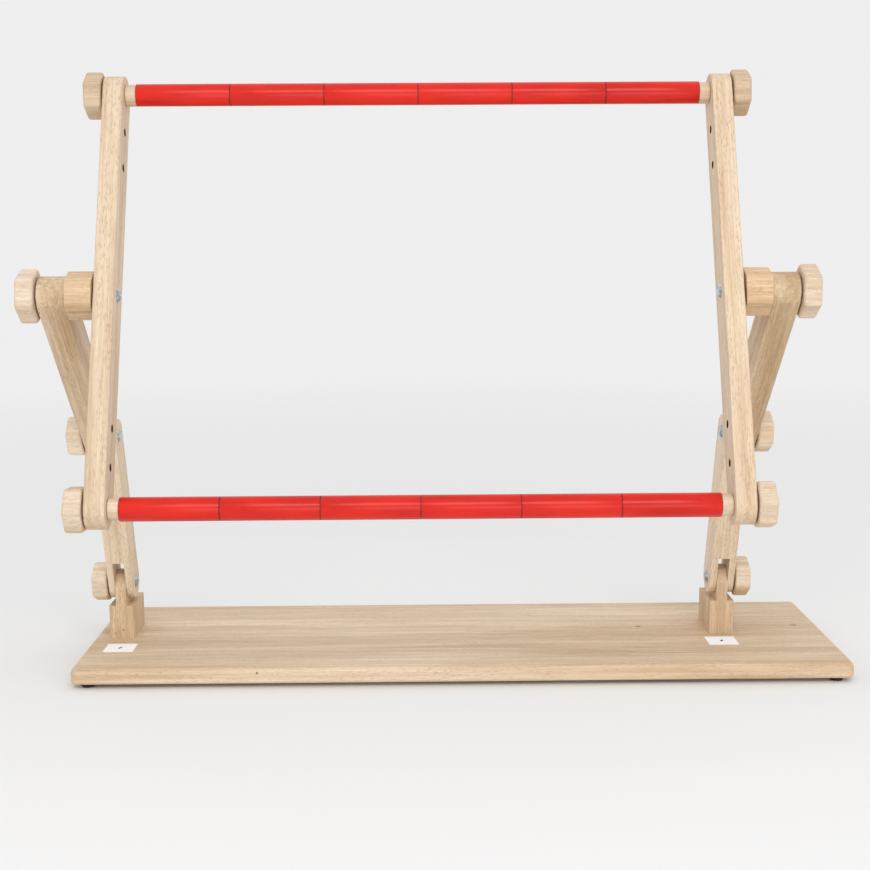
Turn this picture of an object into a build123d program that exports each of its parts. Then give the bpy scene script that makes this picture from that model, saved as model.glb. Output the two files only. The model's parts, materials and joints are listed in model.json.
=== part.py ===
"""Needlework scroll frame on a jointed table stand. Millimetres, +Z up, front towards -Y.

Origin: underside of the base board, mid-depth, on the middle plane of the frame.
The right half (+X) of each pair is drawn and the left one is its mirror image.
"""
import os
from math import cos, radians, sin

from build123d import *

os.makedirs("parts", exist_ok=True)

# ---- base board -------------------------------------------------------------
board_left = 401.0  # from the frame's middle plane to the left end
board_right = 494.0  # the right end runs on, for a wider frame
board_depth = 273.0
board_thickness = 18.5
board_corner_radius = 9.0
board_top_round = 6.0
board_bottom_round = 4.0

foot_radius = 8.0
foot_height = 5.0  # below the board
foot_taper = 1.0
foot_seat_depth = 1.0  # each foot sits in a shallow seat in the underside
foot_seat_clearance = 0.3
foot_inset_x = 18.0
foot_inset_y = 14.0
foot_screw_radius = 1.5
foot_screw_head_radius = 3.2
foot_screw_head_height = 1.6
foot_screw_length = 12.0
foot_screw_recess = 1.2  # head top above the sole

label_width = 35.5
label_depth = 33.0
label_thickness = 0.2
label_shift = 6.0  # labels sit a little inboard of the pedestals
label_gap_left = 24.0  # from the pedestal's front face
label_gap_right = 15.5

# ---- linkage: pivots are axes along X --------------------------------------
base_pivot_y = 9.7
base_pivot_height = 66.6  # above the board's top face
lower_arm_length = 200.0  # pivot to pivot
upper_arm_length = 244.0
bar_spacing = 444.0  # bar axis to bar axis
lower_lean = 18.7  # degrees forward from upright
upper_lean = 45.7
frame_tilt = 21.15  # degrees backward from upright

arm_width = 40.0  # side arms and both stand arms are cut from one section width
arm_edge_round = 1.2
lower_arm_inner = 351.5  # from the middle plane
lower_arm_thickness = 29.5
upper_arm_thickness = 29.0
elbow_lap = 7.3  # what is left of the lower arm beside the upper arm
shoulder_gap = 6.0  # air between a rounded arm end and the shoulder below it
side_arm_inner = 309.0
side_arm_thickness = 21.0

# ---- fork and tongue at the base pivot ------------------------------------
tongue_thickness = 13.0
tongue_depth = 43.0
tongue_crown_drop = 6.6  # centre of the crown below the pivot
fork_gap = 0.3  # each side of the tongue
fork_slot_depth = 37.0  # past the pivot
pedestal_depth = 65.0
pedestal_edge_round = 1.0
pedestal_screw_radius = 3.0
pedestal_screw_head_radius = 5.6
pedestal_screw_length = 50.0
pedestal_screw_sink = 0.6  # head below the board's underside
screw_clearance = 0.5  # radial, screw in the board's holes
countersink_clearance = 0.4
spare_pitch = 97.0  # spare pedestal holes, inboard and outboard of the right pedestal

# ---- bolts, studs, washers, knobs ---------------------------------------------
stud_radius = 4.0
running_clearance = 0.075  # radial, stud in wood or insert
body_gap = 0.3  # between bodies that move past each other
bolt_head_radius = 8.6
bolt_head_height = 3.5
neck_length = 4.0
stud_tip_chamfer = 0.8
stud_in_knob = 13.0
stud_in_bar = 30.0
washer_radius = 9.0
washer_clearance = 0.3
washer_thickness = 1.6
knob_flats = 44.0  # across flats
pivot_knob_flats = 50.0  # the two larger knobs at the frame pivot
knob_thickness = 18.5
knob_corner_radius = 6.5
knob_edge_round = 3.2
knob_bore_depth = 16.0
knob_bore_clearance = 0.6
insert_wall = 1.5
insert_length = 12.0
insert_groove = 0.4
spacer_flats = 45.0
spacer_edge_round = 1.0

# ---- bars and clips -----------------------------------------------------------
bar_radius = 11.2
bar_chamfer = 0.6
clip_length = 99.2
clip_count = 6
clip_gap = 0.5  # between neighbours
clip_wall = 0.9
clip_fit = 0.05  # radial, round the bar
clip_opening = 76.0  # degrees
clip_lip_radius = 0.8
spare_first = 42.0  # first spare hole from the bar axis
spare_step = 40.0

# ---- worked out ---------------------------------------------------------------
hole_radius = stud_radius + running_clearance
washer_hole_radius = stud_radius + washer_clearance
knob_bore_radius = stud_radius + knob_bore_clearance
insert_radius = stud_radius + insert_wall
board_hole_radius = pedestal_screw_radius + screw_clearance
board_countersink_radius = pedestal_screw_head_radius + pedestal_screw_sink + countersink_clearance
lower_arm_outer = lower_arm_inner + lower_arm_thickness
stand_middle = lower_arm_inner + lower_arm_thickness / 2
upper_arm_inner = lower_arm_inner + elbow_lap + body_gap
upper_arm_outer = upper_arm_inner + upper_arm_thickness
side_arm_outer = side_arm_inner + side_arm_thickness
spacer_inner = side_arm_outer + washer_thickness + body_gap
spacer_thickness = upper_arm_inner - spacer_inner
bar_half = side_arm_inner - body_gap
shoulder_drop = arm_width / 2 + shoulder_gap
crown_radius = tongue_depth / 2


def along(start, lean, distance):
    """Point at a distance from start, up an arm that leans forward by lean degrees."""
    return Vector(0, start.Y - distance * sin(radians(lean)), start.Z + distance * cos(radians(lean)))


base_pivot = Vector(0, base_pivot_y, board_thickness + base_pivot_height)
elbow = along(base_pivot, lower_lean, lower_arm_length)
frame_pivot = along(elbow, upper_lean, upper_arm_length)
top_axis = along(frame_pivot, -frame_tilt, bar_spacing / 2)
bottom_axis = along(frame_pivot, -frame_tilt, -bar_spacing / 2)


def arm_plane(x, start, lean):
    """Plane at x facing +X, with its own X running up the arm from start."""
    up_the_arm = (0, -sin(radians(lean)), cos(radians(lean)))
    return Plane(origin=(x, start.Y, start.Z), x_dir=up_the_arm, z_dir=(1, 0, 0))


def axis_plane(x, axis_point):
    """Plane at x facing +X, centred on a pivot or bar axis, its own X running up."""
    return arm_plane(x, axis_point, 0)


def square_neck_pocket(x, start, lean, distance):
    """Cuts the pocket that holds a carriage bolt's square neck, from the face at x outward."""
    side = 2 * stud_radius
    with BuildSketch(arm_plane(x, start, lean)) as neck:
        with Locations((distance, 0)):
            Rectangle(side, side)
    extrude(neck.sketch, amount=neck_length, mode=Mode.SUBTRACT)


def keep(piece, node):
    """Labels a finished piece and writes its STEP file."""
    piece.part.label = node
    export_step(piece.part, f"parts/{node}.step")


def keep_left(right, node):
    """Writes the left-hand mirror image of a right-hand piece."""
    with BuildPart() as left:
        mirror(right.part, about=Plane.YZ)
    keep(left, node)


# ---- base board ----------------------------------------------------------------
board_middle = (board_right - board_left) / 2
board_length = board_left + board_right
pedestal_front = base_pivot_y - crown_radius
pedestal_middle_y = pedestal_front + pedestal_depth / 2
screw_places = [(x, pedestal_middle_y) for x in (-stand_middle, stand_middle)]
spare_places = [(stand_middle + step, pedestal_middle_y) for step in (-spare_pitch, spare_pitch)]
foot_places = [
    (x, y)
    for x in (-board_left + foot_inset_x, board_right - foot_inset_x)
    for y in (-board_depth / 2 + foot_inset_y, board_depth / 2 - foot_inset_y)
]
foot_screw_bottom = foot_screw_recess - foot_height

with BuildPart() as base_board:
    with Locations((board_middle, 0, 0)):
        Box(board_length, board_depth, board_thickness, align=(Align.CENTER, Align.CENTER, Align.MIN))
    fillet(base_board.edges().filter_by(Axis.Z), board_corner_radius)
    fillet(base_board.faces().sort_by(Axis.Z)[-1].edges(), board_top_round)
    fillet(base_board.faces().sort_by(Axis.Z)[0].edges(), board_bottom_round)
    underside = Plane.XY.rotated((180, 0, 0))
    with Locations(underside):
        with Locations(*[(x, -y) for x, y in screw_places + spare_places]):
            CounterSinkHole(
                board_hole_radius, board_countersink_radius, board_thickness, counter_sink_angle=90
            )
        with Locations(*[(x, -y) for x, y in foot_places]):
            Hole(foot_radius + foot_seat_clearance, foot_seat_depth)
            Hole(foot_screw_radius, foot_screw_length + foot_screw_bottom)
keep(base_board, "base_board")

with BuildPart() as foot:
    with BuildSketch(Plane.XZ) as foot_profile:
        with BuildLine():
            Polyline(
                (foot_screw_radius, foot_seat_depth),
                (foot_radius, foot_seat_depth),
                (foot_radius, 0),
                (foot_radius - foot_taper, -foot_height),
                (foot_screw_head_radius, -foot_height),
                (foot_screw_head_radius, foot_screw_bottom + foot_screw_head_height),
                (foot_screw_radius, foot_screw_bottom + foot_screw_head_height),
                close=True,
            )
        make_face()
    revolve(axis=Axis.Z)
    sole = foot.faces().sort_by(Axis.Z)[0]
    fillet(sole.outer_wire().edges(), foot_taper)

with BuildPart() as rubber_feet:
    with Locations(*foot_places):
        add(foot.part)
keep(rubber_feet, "rubber_feet")

with BuildPart() as foot_screw:
    with BuildSketch(Plane.XY.offset(foot_screw_bottom)):
        Circle(foot_screw_head_radius)
    extrude(amount=foot_screw_head_height)
    with BuildSketch(Plane.XY.offset(foot_screw_bottom)):
        Circle(foot_screw_radius)
    extrude(amount=foot_screw_length)

with BuildPart() as foot_screws:
    with Locations(*foot_places):
        add(foot_screw.part)
keep(foot_screws, "foot_screws")

label_places = [
    (side * (stand_middle - label_shift), pedestal_front - gap - label_depth / 2)
    for side, gap in ((-1, label_gap_left), (1, label_gap_right))
]
with BuildPart() as paper_labels:
    with BuildSketch(Plane.XY.offset(board_thickness)):
        with Locations(*label_places):
            Rectangle(label_width, label_depth)
    extrude(amount=label_thickness)
keep(paper_labels, "paper_labels")

# ---- pedestals -----------------------------------------------------------------
shoulder_height = base_pivot.Z - shoulder_drop
crown_height = base_pivot.Z - tongue_crown_drop
pedestal_height = shoulder_height - board_thickness

with BuildPart() as pedestal_right:
    with BuildSketch(Plane.XY.offset(board_thickness)):
        with Locations((stand_middle, pedestal_middle_y)):
            Rectangle(lower_arm_thickness, pedestal_depth)
    extrude(amount=pedestal_height)
    fillet(pedestal_right.edges().filter_by(Axis.Z), pedestal_edge_round)
    with BuildSketch(Plane.YZ.offset(stand_middle - tongue_thickness / 2)):
        with Locations((base_pivot.Y, shoulder_height)):
            Rectangle(tongue_depth, crown_height - shoulder_height, align=(Align.CENTER, Align.MIN))
        with Locations((base_pivot.Y, crown_height)):
            Circle(crown_radius)
    extrude(amount=tongue_thickness)
    with BuildSketch(axis_plane(lower_arm_inner, base_pivot)):
        Circle(hole_radius)
    extrude(amount=lower_arm_thickness, mode=Mode.SUBTRACT)
    screw_in_wood = pedestal_screw_sink + pedestal_screw_length - board_thickness
    with BuildSketch(Plane.XY.offset(board_thickness)):
        with Locations((stand_middle, pedestal_middle_y)):
            Circle(pedestal_screw_radius)
    extrude(amount=screw_in_wood, mode=Mode.SUBTRACT)
keep(pedestal_right, "pedestal_right")
keep_left(pedestal_right, "pedestal_left")

head_cone = pedestal_screw_head_radius - pedestal_screw_radius
with BuildPart() as pedestal_screw:
    with BuildSketch(Plane.XZ):
        with BuildLine():
            Polyline(
                (0, pedestal_screw_sink),
                (pedestal_screw_head_radius, pedestal_screw_sink),
                (pedestal_screw_radius, pedestal_screw_sink + head_cone),
                (pedestal_screw_radius, pedestal_screw_sink + pedestal_screw_length),
                (0, pedestal_screw_sink + pedestal_screw_length),
                close=True,
            )
        make_face()
    revolve(axis=Axis.Z)

with BuildPart() as pedestal_screws:
    with Locations(*screw_places):
        add(pedestal_screw.part)
keep(pedestal_screws, "pedestal_screws")


# ---- arms --------------------------------------------------------------------------
def rounded_bar(x, thickness, start, lean, length):
    """Adds a flat arm with round ends to the current part and eases its long edges."""
    with BuildSketch(arm_plane(x, start, lean)) as outline:
        with Locations((length / 2, 0)):
            SlotCenterToCenter(length, arm_width)
    arm = extrude(outline.sketch, amount=thickness)
    fillet(arm.faces().filter_by(Axis.X).edges(), arm_edge_round)


def drill(x, thickness, start, lean, distances, radius=hole_radius):
    """Cuts holes through an arm at distances from start."""
    with BuildSketch(arm_plane(x, start, lean)) as holes:
        with Locations(*[(distance, 0) for distance in distances]):
            Circle(radius)
    extrude(holes.sketch, amount=thickness, mode=Mode.SUBTRACT)


past_end = arm_width  # cutters run this far past an arm's end
fork_slot = tongue_thickness + 2 * fork_gap
with BuildPart() as lower_arm_right:
    rounded_bar(lower_arm_inner, lower_arm_thickness, base_pivot, lower_lean, lower_arm_length)
    drill(lower_arm_inner, lower_arm_thickness, base_pivot, lower_lean, (0, lower_arm_length))
    square_neck_pocket(lower_arm_inner, base_pivot, lower_lean, 0)
    square_neck_pocket(lower_arm_inner, base_pivot, lower_lean, lower_arm_length)
    with BuildSketch(arm_plane(stand_middle - fork_slot / 2, base_pivot, lower_lean)):
        with Locations((fork_slot_depth, 0)):
            Rectangle(fork_slot_depth + past_end, 2 * arm_width, align=(Align.MAX, Align.CENTER))
    extrude(amount=fork_slot, mode=Mode.SUBTRACT)
    with BuildSketch(arm_plane(lower_arm_inner + elbow_lap, base_pivot, lower_lean)):
        with Locations((lower_arm_length - shoulder_drop, 0)):
            Rectangle(shoulder_drop + past_end, 2 * arm_width, align=(Align.MIN, Align.CENTER))
    extrude(amount=lower_arm_thickness, mode=Mode.SUBTRACT)
keep(lower_arm_right, "lower_arm_right")
keep_left(lower_arm_right, "lower_arm_left")

with BuildPart() as upper_arm_right:
    rounded_bar(upper_arm_inner, upper_arm_thickness, elbow, upper_lean, upper_arm_length)
    drill(upper_arm_inner, upper_arm_thickness, elbow, upper_lean, (0, upper_arm_length))
keep(upper_arm_right, "upper_arm_right")
keep_left(upper_arm_right, "upper_arm_left")

spare_distances = [
    start + direction * (spare_first + spare_step * step)
    for start, direction in ((0, 1), (bar_spacing, -1))
    for step in range(2)
]
with BuildPart() as side_arm_right:
    rounded_bar(side_arm_inner, side_arm_thickness, bottom_axis, -frame_tilt, bar_spacing)
    drill(side_arm_inner, side_arm_thickness, bottom_axis, -frame_tilt, (0, bar_spacing / 2, bar_spacing))
    drill(side_arm_inner, side_arm_thickness, bottom_axis, -frame_tilt, spare_distances)
    square_neck_pocket(side_arm_inner, bottom_axis, -frame_tilt, bar_spacing / 2)
keep(side_arm_right, "side_arm_right")
keep_left(side_arm_right, "side_arm_left")


# ---- turned and hexagonal pieces on the pivots -----------------------------------
def hexagon(x, thickness, axis_point, flats, turn, edge_round):
    """Adds a hexagonal block with rounded corners and edges, turned round its axis."""
    with BuildSketch(axis_plane(x, axis_point)) as outline:
        RegularPolygon(flats / 2, 6, major_radius=False, rotation=turn)
        fillet(outline.vertices(), knob_corner_radius)
    block = extrude(outline.sketch, amount=thickness)
    fillet(block.faces().filter_by(Axis.X).edges(), edge_round)


def bore(x, length, axis_point, radius):
    """Cuts a round hole along an axis."""
    with BuildSketch(axis_plane(x, axis_point)) as opening:
        Circle(radius)
    extrude(opening.sketch, amount=length, mode=Mode.SUBTRACT)


def disc(x, length, axis_point, radius):
    """Adds a cylinder along an axis."""
    with BuildSketch(axis_plane(x, axis_point)) as circle:
        Circle(radius)
    return extrude(circle.sketch, amount=length)


def make_knob(name, x, axis_point, flats, left_turn, right_turn):
    """A pair of knobs whose inner faces are x from the middle plane, with their inserts."""
    for side, turn in (("right", right_turn), ("left", left_turn)):
        with BuildPart() as knob:
            hexagon(x, knob_thickness, axis_point, flats, turn, knob_edge_round)
            bore(x, insert_length, axis_point, insert_radius)
            bore(x, knob_bore_depth, axis_point, knob_bore_radius)
        with BuildPart() as insert:
            disc(x, insert_length, axis_point, insert_radius)
            groove_step = insert_length / 4
            for groove in (1, 2, 3):
                with BuildSketch(axis_plane(x + groove * groove_step - insert_groove, axis_point)):
                    Circle(insert_radius)
                    Circle(insert_radius - insert_groove, mode=Mode.SUBTRACT)
                extrude(amount=2 * insert_groove, mode=Mode.SUBTRACT)
            bore(x, insert_length, axis_point, hole_radius)
        if side == "right":
            keep(knob, f"{name}_knob_right")
            keep(insert, f"{name}_insert_right")
        else:
            keep_left(knob, f"{name}_knob_left")
            keep_left(insert, f"{name}_insert_left")


def knob_face(outer_face):
    """Inner face of a knob that clamps a washer onto an arm's outer face."""
    return outer_face + washer_thickness + body_gap


bar_knob_x = knob_face(side_arm_outer)
base_knob_x = knob_face(lower_arm_outer)
elbow_knob_x = knob_face(upper_arm_outer)
make_knob("base", base_knob_x, base_pivot, knob_flats, 8, -4)
make_knob("elbow", elbow_knob_x, elbow, knob_flats, 19, 3)
make_knob("frame", elbow_knob_x, frame_pivot, pivot_knob_flats, -9, -3)
make_knob("top_bar", bar_knob_x, top_axis, knob_flats, 2, -6)
make_knob("bottom_bar", bar_knob_x, bottom_axis, knob_flats, 26, 12)

with BuildPart() as spacer_right:
    hexagon(spacer_inner, spacer_thickness, frame_pivot, spacer_flats, -8, spacer_edge_round)
    bore(spacer_inner, spacer_thickness, frame_pivot, hole_radius)
keep(spacer_right, "spacer_right")
keep_left(spacer_right, "spacer_left")


def washer_pair(places, node):
    """Washers at (x, axis) places on the right, and their mirror images."""
    with BuildPart() as washers:
        for x, axis_point in places:
            with BuildSketch(axis_plane(x, axis_point)):
                Circle(washer_radius)
                Circle(washer_hole_radius, mode=Mode.SUBTRACT)
            extrude(amount=washer_thickness)
        mirror(about=Plane.YZ)
    keep(washers, node)


washer_pair([(lower_arm_outer, base_pivot)], "base_washers")
washer_pair([(upper_arm_outer, elbow), (upper_arm_outer, frame_pivot)], "upper_arm_washers")
washer_pair([(side_arm_outer, axis) for axis in (top_axis, frame_pivot, bottom_axis)], "frame_washers")


def carriage_bolts(x, tip_x, axis_point, lean, node):
    """A pair of carriage bolts: domed heads on the inner faces at x, tips at tip_x."""
    dome_rise = bolt_head_height
    with BuildPart() as bolts:
        with BuildSketch(arm_plane(x, axis_point, lean)):
            Rectangle(2 * stud_radius, 2 * stud_radius)
        extrude(amount=neck_length)
        shank = disc(x, tip_x - x, axis_point, stud_radius)
        chamfer(shank.edges().sort_by(Axis.X)[-1], stud_tip_chamfer)
        with BuildSketch(Plane(origin=(x, axis_point.Y, axis_point.Z), x_dir=(-1, 0, 0), z_dir=(0, -1, 0))):
            with BuildLine():
                Line((0, 0), (dome_rise, 0))
                ThreePointArc(
                    (dome_rise, 0),
                    (dome_rise * 0.78, bolt_head_radius * 0.55),
                    (0, bolt_head_radius),
                )
                Line((0, bolt_head_radius), (0, 0))
            make_face()
        revolve(axis=Axis((x, axis_point.Y, axis_point.Z), (1, 0, 0)))
        mirror(about=Plane.YZ)
    keep(bolts, node)


carriage_bolts(lower_arm_inner, base_knob_x + stud_in_knob, base_pivot, lower_lean, "base_bolts")
carriage_bolts(lower_arm_inner, elbow_knob_x + stud_in_knob, elbow, lower_lean, "elbow_bolts")
carriage_bolts(side_arm_inner, elbow_knob_x + stud_in_knob, frame_pivot, -frame_tilt, "frame_bolts")


# ---- bars, studs and clips ---------------------------------------------------------
def polar(radius, angle):
    """Point at a radius and an angle in radians."""
    return (radius * cos(angle), radius * sin(angle))


def make_bar(name, axis_point, opening_turn):
    """A round bar with a stud in each end and a row of snap-on clips.

    opening_turn is where the clips' opening faces, in degrees from straight up towards the front.
    """
    stud_start = bar_half - stud_in_bar
    with BuildPart() as bar:
        dowel = disc(-bar_half, 2 * bar_half, axis_point, bar_radius)
        chamfer(dowel.faces().filter_by(Axis.X).edges(), bar_chamfer)
        bore(stud_start, stud_in_bar, axis_point, stud_radius)
        bore(-bar_half, stud_in_bar, axis_point, stud_radius)
    keep(bar, f"{name}_bar")

    with BuildPart() as studs:
        stud = disc(stud_start, bar_knob_x + stud_in_knob - stud_start, axis_point, stud_radius)
        chamfer(stud.faces().filter_by(Axis.X).edges(), stud_tip_chamfer)
        mirror(about=Plane.YZ)
    keep(studs, f"{name}_studs")

    clip_inside = bar_radius + clip_fit
    clip_outside = clip_inside + clip_wall
    lip_middle = clip_inside + clip_lip_radius
    opening_edges = [radians(opening_turn + side * clip_opening / 2) for side in (-1, 1)]
    row_start = -clip_length * clip_count / 2
    for index in range(clip_count):
        plane = axis_plane(row_start + clip_length * index + clip_gap / 2, axis_point)
        with BuildPart() as clip:
            with BuildSketch(plane):
                Circle(clip_outside)
                Circle(clip_inside, mode=Mode.SUBTRACT)
                with BuildLine():
                    Polyline((0, 0), *[polar(2 * clip_outside, edge) for edge in opening_edges], close=True)
                make_face(mode=Mode.SUBTRACT)
                with Locations(*[polar(lip_middle, edge) for edge in opening_edges]):
                    Circle(clip_lip_radius)
            extrude(amount=clip_length - clip_gap)
        keep(clip, f"{name}_clip_{index + 1}")


make_bar("top", top_axis, 195)
make_bar("bottom", bottom_axis, 210)
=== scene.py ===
import bpy
import json
from math import radians, sin, cos
from mathutils import Matrix, Vector

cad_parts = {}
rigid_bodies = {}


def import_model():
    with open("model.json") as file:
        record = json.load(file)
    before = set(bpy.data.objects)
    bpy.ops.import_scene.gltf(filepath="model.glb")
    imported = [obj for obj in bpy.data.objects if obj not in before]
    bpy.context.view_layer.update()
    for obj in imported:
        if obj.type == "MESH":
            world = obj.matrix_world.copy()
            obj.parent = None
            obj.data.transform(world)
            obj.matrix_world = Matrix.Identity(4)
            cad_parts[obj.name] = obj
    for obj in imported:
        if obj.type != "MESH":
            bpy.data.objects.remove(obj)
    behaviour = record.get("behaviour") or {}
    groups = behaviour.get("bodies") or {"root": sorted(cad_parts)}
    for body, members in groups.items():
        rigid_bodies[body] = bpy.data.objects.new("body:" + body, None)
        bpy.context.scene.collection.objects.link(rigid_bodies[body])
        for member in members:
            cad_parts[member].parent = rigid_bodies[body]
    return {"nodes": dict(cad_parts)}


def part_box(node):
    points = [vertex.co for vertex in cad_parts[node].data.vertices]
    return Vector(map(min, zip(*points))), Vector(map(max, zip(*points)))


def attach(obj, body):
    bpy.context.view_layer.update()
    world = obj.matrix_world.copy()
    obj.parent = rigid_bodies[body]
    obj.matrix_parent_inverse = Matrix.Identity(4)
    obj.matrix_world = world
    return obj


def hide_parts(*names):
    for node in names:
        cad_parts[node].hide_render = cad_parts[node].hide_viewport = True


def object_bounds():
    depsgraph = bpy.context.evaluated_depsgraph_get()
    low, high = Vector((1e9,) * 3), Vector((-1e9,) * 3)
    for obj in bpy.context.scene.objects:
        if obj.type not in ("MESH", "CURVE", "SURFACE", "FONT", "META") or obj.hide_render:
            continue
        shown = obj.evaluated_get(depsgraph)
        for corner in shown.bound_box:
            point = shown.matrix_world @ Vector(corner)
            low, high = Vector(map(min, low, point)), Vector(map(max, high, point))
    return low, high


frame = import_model()
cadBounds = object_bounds()
nodes = frame["nodes"]
bpy.ops.object.select_all(action="DESELECT")
print("frame loaded")


def srgb(red, green, blue):
    # 0-255 screen values to the linear numbers the sockets take
    steps = [v / 255 for v in (red, green, blue)]
    return tuple(v / 12.92 if v <= 0.04045 else ((v + 0.055) / 1.055) ** 2.4 for v in steps) + (1.0,)


def middle(node):
    low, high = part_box(node)
    return (low + high) / 2


# camera
view = {"place": (0.0017, -1.672, 0.509), "down": 8.31, "across": 0.53, "roll": -0.35, "lens": 57.93}
ahead = Vector((
    sin(radians(view["across"])) * cos(radians(view["down"])),
    cos(radians(view["across"])) * cos(radians(view["down"])),
    -sin(radians(view["down"])),
))
bpy.ops.object.camera_add(location=view["place"])
camera = bpy.context.object
turned = ahead.to_track_quat("-Z", "Y").to_matrix() @ Matrix.Rotation(radians(view["roll"]), 3, "Z")
camera.rotation_euler = turned.to_euler()
camera.data.lens = view["lens"]
camera.data.sensor_width = 36
camera.data.clip_start = 0.02
camera.data.clip_end = 60
bpy.context.scene.camera = camera
bpy.context.scene.view_settings.view_transform = "Standard"
print("camera set")


# materials
def newMaterial(name):
    material = bpy.data.materials.new(name)
    material.use_nodes = True
    tree = material.node_tree
    tree.nodes.clear()
    output = tree.nodes.new("ShaderNodeOutputMaterial")
    shader = tree.nodes.new("ShaderNodeBsdfPrincipled")
    tree.links.new(shader.outputs["BSDF"], output.inputs["Surface"])
    coords = tree.nodes.new("ShaderNodeTexCoord")
    return material, tree, shader, coords.outputs["Object"]


def mapped(tree, source, kind="POINT", location=(0, 0, 0), rotation=(0, 0, 0), scale=(1, 1, 1)):
    node = tree.nodes.new("ShaderNodeMapping")
    node.vector_type = kind
    node.inputs["Location"].default_value = location
    node.inputs["Rotation"].default_value = rotation
    node.inputs["Scale"].default_value = scale
    tree.links.new(source, node.inputs["Vector"])
    return node.outputs["Vector"]


def noise(tree, vector, detail=2.0, roughness=0.5, distortion=0.0):
    node = tree.nodes.new("ShaderNodeTexNoise")
    node.inputs["Scale"].default_value = 1.0
    node.inputs["Detail"].default_value = detail
    node.inputs["Roughness"].default_value = roughness
    node.inputs["Distortion"].default_value = distortion
    tree.links.new(vector, node.inputs["Vector"])
    return node.outputs["Fac"]


def ramp(tree, value, *stops):
    node = tree.nodes.new("ShaderNodeValToRGB")
    while len(node.color_ramp.elements) < len(stops):
        node.color_ramp.elements.new(0.5)
    for element, (place, colour) in zip(node.color_ramp.elements, stops):
        element.position = place
        element.color = colour if len(colour) == 4 else (*colour, 1.0)
    tree.links.new(value, node.inputs["Fac"])
    return node.outputs["Color"]


def feed(tree, socket, given):
    # another node's output is linked, a plain value is set
    if hasattr(given, "links"):
        tree.links.new(given, socket)
    else:
        socket.default_value = given


def mix(tree, how, amount, under, over):
    node = tree.nodes.new("ShaderNodeMix")
    node.data_type = "RGBA"
    node.blend_type = how
    feed(tree, node.inputs["Factor"], amount)
    feed(tree, node.inputs["A"], under)
    feed(tree, node.inputs["B"], over)
    return node.outputs["Result"]


def maths(tree, how, first, second=0.0):
    node = tree.nodes.new("ShaderNodeMath")
    node.operation = how
    feed(tree, node.inputs[0], first)
    feed(tree, node.inputs[1], second)
    return node.outputs["Value"]


def lengthOf(tree, vector):
    node = tree.nodes.new("ShaderNodeVectorMath")
    node.operation = "LENGTH"
    tree.links.new(vector, node.inputs[0])
    return node.outputs["Value"]


def grey(value):
    return (value, value, value)


def addBump(tree, shader, height, strength, depth):
    node = tree.nodes.new("ShaderNodeBump")
    node.inputs["Strength"].default_value = strength
    node.inputs["Distance"].default_value = depth
    tree.links.new(height, node.inputs["Height"])
    tree.links.new(node.outputs["Normal"], shader.inputs["Normal"])


# beech: solid grain along one axis of the piece, with streaks, fine fibres, short dark flecks and
# a few pin knots; each pattern has its repeats in a metre, twice across the grain and then along it
beech = {
    "light": srgb(236, 217, 193), "dark": srgb(199, 171, 137), "fleck": srgb(146, 112, 80),
    "knot": srgb(66, 44, 30), "bore": srgb(58, 40, 28), "boreReach": 0.005,
    "broad": (22, 22, 2.2), "streak": (240, 240, 4.5), "fibre": (1100, 1100, 40),
    "cell": (680, 680, 135), "patch": (90, 90, 12), "seedStep": (1.37, 2.11, 0.73),
    "broadShare": 0.55, "darkSide": 0.16, "lightSide": 0.14, "fibreShade": (0.76, 0.72, 0.67),
    "fibreShare": 0.6, "fleckShare": 0.5, "fleckDepth": 0.8, "knotShare": 0.8,
    "roughness": (0.6, 0.48), "specular": 0.3, "bumpStrength": 0.4, "bumpDepth": 0.00025,
}


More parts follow.
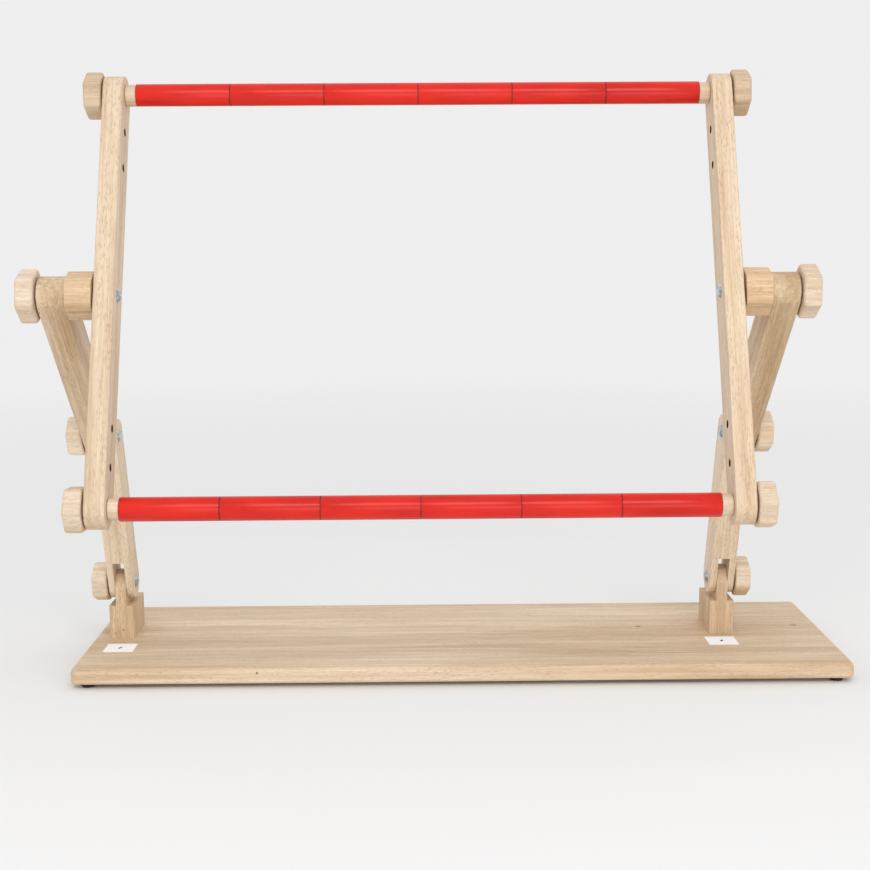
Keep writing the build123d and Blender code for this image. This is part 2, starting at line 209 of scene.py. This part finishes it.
def beechMaterial(
    name, centre, lean=0.0, along="z", tint=(1.0, 1.0, 1.0), contrast=1.0, flecks=1.0,
    knots=(), bores=(), seed=0.0,
):
    material, tree, shader, place = newMaterial(name)
    turn = (radians(lean), 0, 0) if along == "z" else (0, radians(90), 0)
    grain = mapped(tree, place, "TEXTURE", centre, turn)  # its own Z now runs along the grain
    shift = tuple(seed * step for step in beech["seedStep"])

    def pattern(name):
        return mapped(tree, grain, location=shift, scale=beech[name])

    # pale and dark bands
    broad = noise(tree, pattern("broad"), 3, 0.55, 0.6)
    streaks = noise(tree, pattern("streak"), 4, 0.6, 0.4)
    slow = maths(tree, "MULTIPLY", broad, beech["broadShare"])
    tone = maths(tree, "ADD", slow, maths(tree, "MULTIPLY", streaks, 1 - beech["broadShare"]))
    darkStop = 0.5 - beech["darkSide"] / contrast
    lightStop = 0.5 + beech["lightSide"] / contrast
    wood = ramp(tree, tone, (darkStop, beech["dark"]), (lightStop, beech["light"]))
    wood = mix(tree, "MULTIPLY", 1.0, wood, (*tint, 1.0))

    # fibres
    fibres = noise(tree, pattern("fibre"), 3, 0.6)
    fine = ramp(tree, fibres, (0.3, beech["fibreShade"]), (0.62, grey(1)))
    wood = mix(tree, "MULTIPLY", beech["fibreShare"] * contrast, wood, fine)

    # flecks, thicker in some places
    cells = tree.nodes.new("ShaderNodeTexVoronoi")
    cells.inputs["Scale"].default_value = 1.0
    tree.links.new(pattern("cell"), cells.inputs["Vector"])
    dashes = ramp(tree, cells.outputs["Distance"], (0.14, grey(1)), (0.44, grey(0)))
    patch = ramp(tree, noise(tree, pattern("patch"), 2), (0.34, grey(0.15)), (0.6, grey(1)))
    dashes = maths(tree, "MULTIPLY", dashes, patch)
    amount = maths(tree, "MULTIPLY", dashes, beech["fleckShare"] * flecks)
    wood = mix(tree, "MIX", amount, wood, beech["fleck"])

    for spot, size in knots:
        distance = lengthOf(tree, mapped(tree, place, location=tuple(-v for v in spot)))
        part = maths(tree, "DIVIDE", distance, size)
        dark = ramp(tree, part, (0.45, grey(1)), (1.0, grey(0)))
        dark = maths(tree, "MULTIPLY", dark, beech["knotShare"])
        wood = mix(tree, "MIX", dark, wood, beech["knot"])
    for front, up in bores:  # painted shade on the drilled walls of the spare holes, where little light reaches inside
        distance = lengthOf(tree, mapped(tree, place, location=(0, -front, -up), scale=(0, 1, 1)))
        part = maths(tree, "DIVIDE", distance, beech["boreReach"])
        dark = ramp(tree, part, (0.82, grey(1)), (0.88, grey(0)))
        wood = mix(tree, "MIX", dark, wood, beech["bore"])

    tree.links.new(wood, shader.inputs["Base Color"])
    dull, shiny = beech["roughness"]
    tree.links.new(ramp(tree, fibres, (0.3, grey(dull)), (0.7, grey(shiny))), shader.inputs["Roughness"])
    shader.inputs["Specular IOR Level"].default_value = beech["specular"]
    height = maths(tree, "SUBTRACT", fibres, maths(tree, "MULTIPLY", dashes, beech["fleckDepth"]))
    addBump(tree, shader, height, beech["bumpStrength"], beech["bumpDepth"])
    return material


def dress(node, material):
    slots = nodes[node].data.materials
    slots.clear()
    slots.append(material)


lean = {"side_arm": -21.15, "upper_arm": 45.7, "lower_arm": 18.7}
# the low bar's place from front to back and up, and how far up the arm the spare holes are from it
sideArm = {"low": (-0.30915, 0.23791), "spares": (0.042, 0.082, 0.362, 0.402)}
upTheSide = (sin(radians(-lean["side_arm"])), cos(radians(lean["side_arm"])))
spareBores = [
    tuple(start + step * part for start, part in zip(sideArm["low"], upTheSide))
    for step in sideArm["spares"]
]
woodPieces = {
    "base_board": {
        "along": "x", "tint": (1.0, 0.975, 0.94), "contrast": 1.0, "flecks": 0.8,
        "knots": (((-0.188, -0.1365, 0.013), 0.0018),),
    },
    "pedestal_right": {"tint": (0.9, 0.83, 0.74), "contrast": 1.2},
    "pedestal_left": {
        "tint": (0.95, 0.89, 0.8), "contrast": 1.2, "knots": (((-0.365, -0.0118, 0.029), 0.0013),),
    },
    "side_arm_right": {"lean": lean["side_arm"], "bores": spareBores, "tint": (1.0, 0.985, 0.965)},
    "side_arm_left": {"lean": lean["side_arm"], "bores": spareBores, "tint": (0.96, 0.945, 0.93)},
    # the upper arms get a darker tint: painted shade, for their front faces that tilt downward
    "upper_arm_right": {"lean": lean["upper_arm"], "contrast": 1.4, "tint": (0.9, 0.86, 0.78)},
    "upper_arm_left": {"lean": lean["upper_arm"], "contrast": 1.4, "tint": (0.9, 0.86, 0.79)},
    "lower_arm_right": {"lean": lean["lower_arm"], "tint": (1.06, 1.09, 1.12)},
    "lower_arm_left": {"lean": lean["lower_arm"], "tint": (1.14, 1.2, 1.27)},
    "spacer_right": {"along": "x", "tint": (0.97, 0.85, 0.71), "contrast": 1.3},
    "spacer_left": {"along": "x", "tint": (0.98, 0.9, 0.79), "contrast": 1.3},
    "top_bar": {"along": "x", "flecks": 0.5}, "bottom_bar": {"along": "x", "flecks": 0.5},
}
knobTints = {
    "base": (1.08, 1.14, 1.22), "elbow": (1.16, 1.22, 1.32), "frame": (1.04, 1.07, 1.13),
    "top_bar": (0.88, 0.84, 0.8), "bottom_bar": (1.0, 1.01, 1.04),
}
for joint, tint in knobTints.items():
    for side in ("right", "left"):
        woodPieces[f"{joint}_knob_{side}"] = {"along": "x", "flecks": 0.7, "tint": tint}
woodPieces["frame_knob_left"]["knots"] = (((-0.394, -0.2575, 0.44), 0.0015),)
for order, (node, finish) in enumerate(woodPieces.items()):
    dress(node, beechMaterial(f"beech_{node}", middle(node), seed=order + 1.0, **finish))
print("beech pieces dressed:", len(woodPieces))

# red clips: the row is the same on both bars, and each clip has painted shade in a thin dark band at its
# ends, for the narrow gap between neighbouring clips
clipRow = {"start": -0.2976, "pitch": 0.0992}
redPlastic = {
    "colour": srgb(217, 33, 17), "deep": srgb(196, 25, 13), "seamShade": srgb(116, 12, 8),
    "shine": (0.24, 0.32), "specular": 0.3, "seamShadePart": 0.006,
    "cloud": (14, 60, 60), "ripple": (20, 70, 70), "bumpStrength": 0.12, "bumpDepth": 0.0005,
}


def redMaterial():
    material, tree, shader, place = newMaterial("red_plastic")
    cloud = noise(tree, mapped(tree, place, scale=redPlastic["cloud"]), 3, 0.55)
    colour = ramp(tree, cloud, (0.35, redPlastic["deep"]), (0.65, redPlastic["colour"]))
    axes = tree.nodes.new("ShaderNodeSeparateXYZ")
    tree.links.new(place, axes.inputs["Vector"])
    along = maths(tree, "SUBTRACT", axes.outputs["X"], clipRow["start"])
    along = maths(tree, "DIVIDE", along, clipRow["pitch"])
    fromMiddle = maths(tree, "ABSOLUTE", maths(tree, "SUBTRACT", maths(tree, "FRACT", along), 0.5))
    # painted shade: a thin dark band at both ends of every clip
    edge = maths(tree, "GREATER_THAN", fromMiddle, 0.5 - redPlastic["seamShadePart"])
    tree.links.new(mix(tree, "MIX", edge, colour, redPlastic["seamShade"]), shader.inputs["Base Color"])
    low, high = redPlastic["shine"]
    tree.links.new(ramp(tree, cloud, (0.3, grey(low)), (0.7, grey(high))), shader.inputs["Roughness"])
    shader.inputs["Specular IOR Level"].default_value = redPlastic["specular"]
    ripple = noise(tree, mapped(tree, place, scale=redPlastic["ripple"]), 2)
    addBump(tree, shader, ripple, redPlastic["bumpStrength"], redPlastic["bumpDepth"])
    return material


red = redMaterial()

# metal: bolts, washers, screws and studs, and the inserts in the knobs
metal = {"stain": 260, "dullMore": 0.12}


def metalMaterial(name, colour, dark, roughness):
    material, tree, shader, place = newMaterial(name)
    stain = noise(tree, mapped(tree, place, scale=(metal["stain"],) * 3), 4, 0.6)
    tree.links.new(ramp(tree, stain, (0.35, dark), (0.65, colour)), shader.inputs["Base Color"])
    dull = grey(roughness + metal["dullMore"])
    tree.links.new(ramp(tree, stain, (0.3, dull), (0.7, grey(roughness))), shader.inputs["Roughness"])
    shader.inputs["Metallic"].default_value = 1.0
    return material


zinc = metalMaterial("zinc_plate", srgb(214, 219, 222), srgb(140, 147, 153), 0.16)
brassTurned = metalMaterial("turned_brass", srgb(214, 182, 110), srgb(180, 148, 84), 0.3)
for node in ("foot_screws", "pedestal_screws", "base_washers", "upper_arm_washers", "frame_washers",
             "base_bolts", "elbow_bolts", "frame_bolts", "top_studs", "bottom_studs"):
    dress(node, zinc)
for joint in knobTints:
    for side in ("right", "left"):
        dress(f"{joint}_insert_{side}", brassTurned)


# rubber feet
rubber = {
    "light": srgb(34, 34, 36), "dark": srgb(18, 18, 19), "roughness": 0.7, "speck": 900,
    "bumpStrength": 0.4, "bumpDepth": 0.0002,
}


def rubberMaterial():
    material, tree, shader, place = newMaterial("black_rubber")
    speck = noise(tree, mapped(tree, place, scale=(rubber["speck"],) * 3), 3, 0.6)
    colour = ramp(tree, speck, (0.3, rubber["dark"]), (0.7, rubber["light"]))
    tree.links.new(colour, shader.inputs["Base Color"])
    shader.inputs["Roughness"].default_value = rubber["roughness"]
    addBump(tree, shader, speck, rubber["bumpStrength"], rubber["bumpDepth"])
    return material


dress("rubber_feet", rubberMaterial())
print("metal and rubber dressed")


def start():
    bpy.ops.object.select_all(action="DESELECT")


def settle(piece):
    # its place goes into its mesh, so the object sits at the origin
    start()
    piece.select_set(True)
    bpy.context.view_layer.objects.active = piece
    bpy.ops.object.transform_apply(location=True, rotation=True, scale=True)


def pickFaces(piece, wanted):
    # selects in edit mode the faces whose middle passes the test
    bpy.ops.object.mode_set(mode="EDIT")
    bpy.ops.mesh.select_mode(type="FACE")
    bpy.ops.mesh.select_all(action="DESELECT")
    bpy.ops.object.mode_set(mode="OBJECT")
    for face in piece.data.polygons:
        face.select = wanted(face.center)
    bpy.ops.object.mode_set(mode="EDIT")


def finishWith(piece, kind, **values):
    modifier = piece.modifiers.new(kind.title(), kind)
    for key, value in values.items():
        setattr(modifier, key, value)
    start()
    piece.select_set(True)
    bpy.context.view_layer.objects.active = piece
    bpy.ops.object.modifier_apply(modifier=modifier.name)


# paper labels: thin cards with eased corners and one short pen mark
label = {
    "corner": 0.0018, "border": 0.0012, "mark": (0.0016, 0.0042), "markTurn": -24, "pulp": 900,
    "paper": (srgb(248, 248, 248), srgb(254, 254, 255)), "pen": srgb(40, 40, 44), "roughness": 0.75,
}


def labelMaterial(centre):
    material, tree, shader, place = newMaterial("label_paper")
    pulp = noise(tree, mapped(tree, place, scale=(label["pulp"],) * 3), 4, 0.6)
    paper = ramp(tree, pulp, (0.35, label["paper"][0]), (0.65, label["paper"][1]))
    turn = (0, 0, radians(label["markTurn"]))
    offset = mapped(tree, place, "TEXTURE", centre, turn, (*label["mark"], 1))
    distance = lengthOf(tree, mapped(tree, offset, scale=(1, 1, 0)))
    pen = ramp(tree, distance, (0.8, grey(1)), (1.0, grey(0)))
    tree.links.new(mix(tree, "MIX", pen, paper, label["pen"]), shader.inputs["Base Color"])
    shader.inputs["Roughness"].default_value = label["roughness"]
    return material


def makeLabels():
    for side, part in (("left", lambda v: v.co.x < 0), ("right", lambda v: v.co.x > 0)):
        spots = [v.co for v in nodes["paper_labels"].data.vertices if part(v)]
        low = [min(spot[i] for spot in spots) for i in range(3)]
        high = [max(spot[i] for spot in spots) for i in range(3)]
        centre = [(a + b) / 2 for a, b in zip(low, high)]
        start()
        bpy.ops.mesh.primitive_plane_add(size=1, location=(centre[0], centre[1], high[2]))
        card = bpy.context.object
        card.name = f"label_{side}"
        card.scale = (high[0] - low[0], high[1] - low[1], 1)
        settle(card)
        bpy.ops.object.mode_set(mode="EDIT")
        bpy.ops.mesh.select_all(action="SELECT")
        bpy.ops.mesh.bevel(offset=label["corner"], segments=5, affect="VERTICES")
        bpy.ops.mesh.inset(thickness=label["border"])
        bpy.ops.object.mode_set(mode="OBJECT")
        finishWith(card, "SOLIDIFY", thickness=high[2] - low[2], offset=-1.0)
        card.data.materials.append(labelMaterial(centre))
        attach(card, "base")
    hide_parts("paper_labels")
    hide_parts("paper_labels")


makeLabels()
print("labels made")

# clips: thin sprung shells, open at the back and below, with flared lips and softened ends
clip = {
    "inside": 0.01125, "wall": 0.0009, "opening": 76, "gap": 0.0002, "soft": 0.0004, "sides": 120,
    "flare": ((0.0003, 0.0004), (0.0005, 0.0001)), "turn": {"top": 195, "bottom": 210},
    "softOver": 50, "smoothUnder": 35, "count": 6,
}


def makeClip(bar):
    centre = middle(f"{bar}_bar")
    first = middle(f"{bar}_clip_1")
    start()
    bpy.ops.mesh.primitive_cylinder_add(
        vertices=clip["sides"], radius=clip["inside"], depth=clipRow["pitch"] - clip["gap"],
        end_fill_type="NOTHING", location=(first.x, centre.y, centre.z), rotation=(0, radians(90), 0),
    )
    shell = bpy.context.object
    settle(shell)
    turn = radians(clip["turn"][bar])
    outward = Vector((0, -sin(turn), cos(turn)))
    sideways = Vector((0, cos(turn), sin(turn)))

    def arm(spot):
        return Vector((0, spot.y - centre.y, spot.z - centre.z)).normalized()

    pickFaces(shell, lambda spot: arm(spot).dot(outward) > cos(radians(clip["opening"] / 2)))
    bpy.ops.mesh.delete(type="FACE")
    for side in (1, -1):  # each lip turns outward in two short steps
        for step, (away, across) in enumerate(clip["flare"]):
            if step == 0:
                bpy.ops.mesh.select_mode(type="EDGE")
                bpy.ops.mesh.select_all(action="DESELECT")
                bpy.ops.object.mode_set(mode="OBJECT")
                half = [v for v in shell.data.vertices if arm(v.co).dot(sideways) * side > 0]
                rim = max(arm(v.co).dot(outward) for v in half)
                for v in shell.data.vertices:
                    v.select = False
                for v in half:
                    v.select = arm(v.co).dot(outward) > rim - 1e-4
                for edge in shell.data.edges:
                    edge.select = all(shell.data.vertices[i].select for i in edge.vertices)
                edgeArm = arm(next(v.co for v in shell.data.vertices if v.select))
                toOpening = (outward - edgeArm * edgeArm.dot(outward)).normalized()
                bpy.ops.object.mode_set(mode="EDIT")
            bpy.ops.mesh.extrude_region_move(
                TRANSFORM_OT_translate={"value": tuple(edgeArm * away + toOpening * across)}
            )
    bpy.ops.object.mode_set(mode="OBJECT")
    finishWith(shell, "SOLIDIFY", thickness=clip["wall"], offset=1.0, use_even_offset=True)
    softOver = radians(clip["softOver"])
    finishWith(
        shell, "BEVEL", width=clip["soft"], segments=2, limit_method="ANGLE", angle_limit=softOver,
    )
    bpy.ops.object.shade_smooth_by_angle(angle=radians(clip["smoothUnder"]))
    shell.data.materials.append(red)
    return shell


for bar in ("top", "bottom"):
    model = makeClip(bar)
    for number in range(1, clip["count"] + 1):
        piece = model if number == 1 else model.copy()
        if number > 1:
            piece.data = model.data.copy()
            bpy.context.scene.collection.objects.link(piece)
            piece.data.transform(Matrix.Translation((clipRow["pitch"] * (number - 1), 0, 0)))
        piece.name = f"clip_{bar}_{number}"
    for number in range(1, clip["count"] + 1):
        piece = bpy.data.objects[f"clip_{bar}_{number}"]
        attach(piece, f"{bar}_roller")
        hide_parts(f"{bar}_clip_{number}")
print("clips made")

# studio: pale floor that fades into an even pale surround, one wide soft lamp and a weaker one low down
studio = {
    "floorRadius": 6, "aim": (0, -0.15, 0.35),
    "surround": 0.86, "floorTone": (0.85, 0.85, 0.85), "fadeFrom": 0.8, "fadeTo": 3.2,
    "key": {"place": (0.1, -2.5, 2.2), "size": (2.2, 0.7), "watts": 26.5},
    "fill": {"place": (0.5, -2.6, 0.4), "size": (1.8, 0.8), "watts": 9},
}
world = bpy.data.worlds.new("surround")
bpy.context.scene.world = world
world.use_nodes = True
world.node_tree.nodes["Background"].inputs["Color"].default_value = (1, 1, 1, 1)
world.node_tree.nodes["Background"].inputs["Strength"].default_value = studio["surround"]

floorHeight = cadBounds[0].z
bpy.ops.mesh.primitive_circle_add(
    vertices=96, radius=studio["floorRadius"], fill_type="NGON", location=(0, 0, floorHeight),
)
floor = bpy.context.object
floor.name = "floor"
floorMaterial, tree, shader, place = newMaterial("pale_floor")
shader.inputs["Base Color"].default_value = (*studio["floorTone"], 1)
shader.inputs["Roughness"].default_value = 0.9
shader.inputs["Specular IOR Level"].default_value = 0.1
past = maths(tree, "SUBTRACT", lengthOf(tree, place), studio["fadeFrom"])
fade = maths(tree, "DIVIDE", past, studio["fadeTo"] - studio["fadeFrom"])
fade = ramp(tree, fade, (0.0, grey(1)), (1.0, grey(0)))
tree.links.new(fade, shader.inputs["Alpha"])
floor.data.materials.append(floorMaterial)

for name in ("key", "fill"):
    lamp = studio[name]
    bpy.ops.object.light_add(type="AREA", location=lamp["place"])
    light = bpy.context.object
    light.name = f"{name}_light"
    light.data.shape = "RECTANGLE"
    light.data.size, light.data.size_y = lamp["size"]
    light.data.energy = lamp["watts"]
    light.visible_camera = False
    aim = Vector(studio["aim"]) - Vector(lamp["place"])
    light.rotation_euler = aim.to_track_quat("-Z", "Y").to_euler()
print("studio lit")
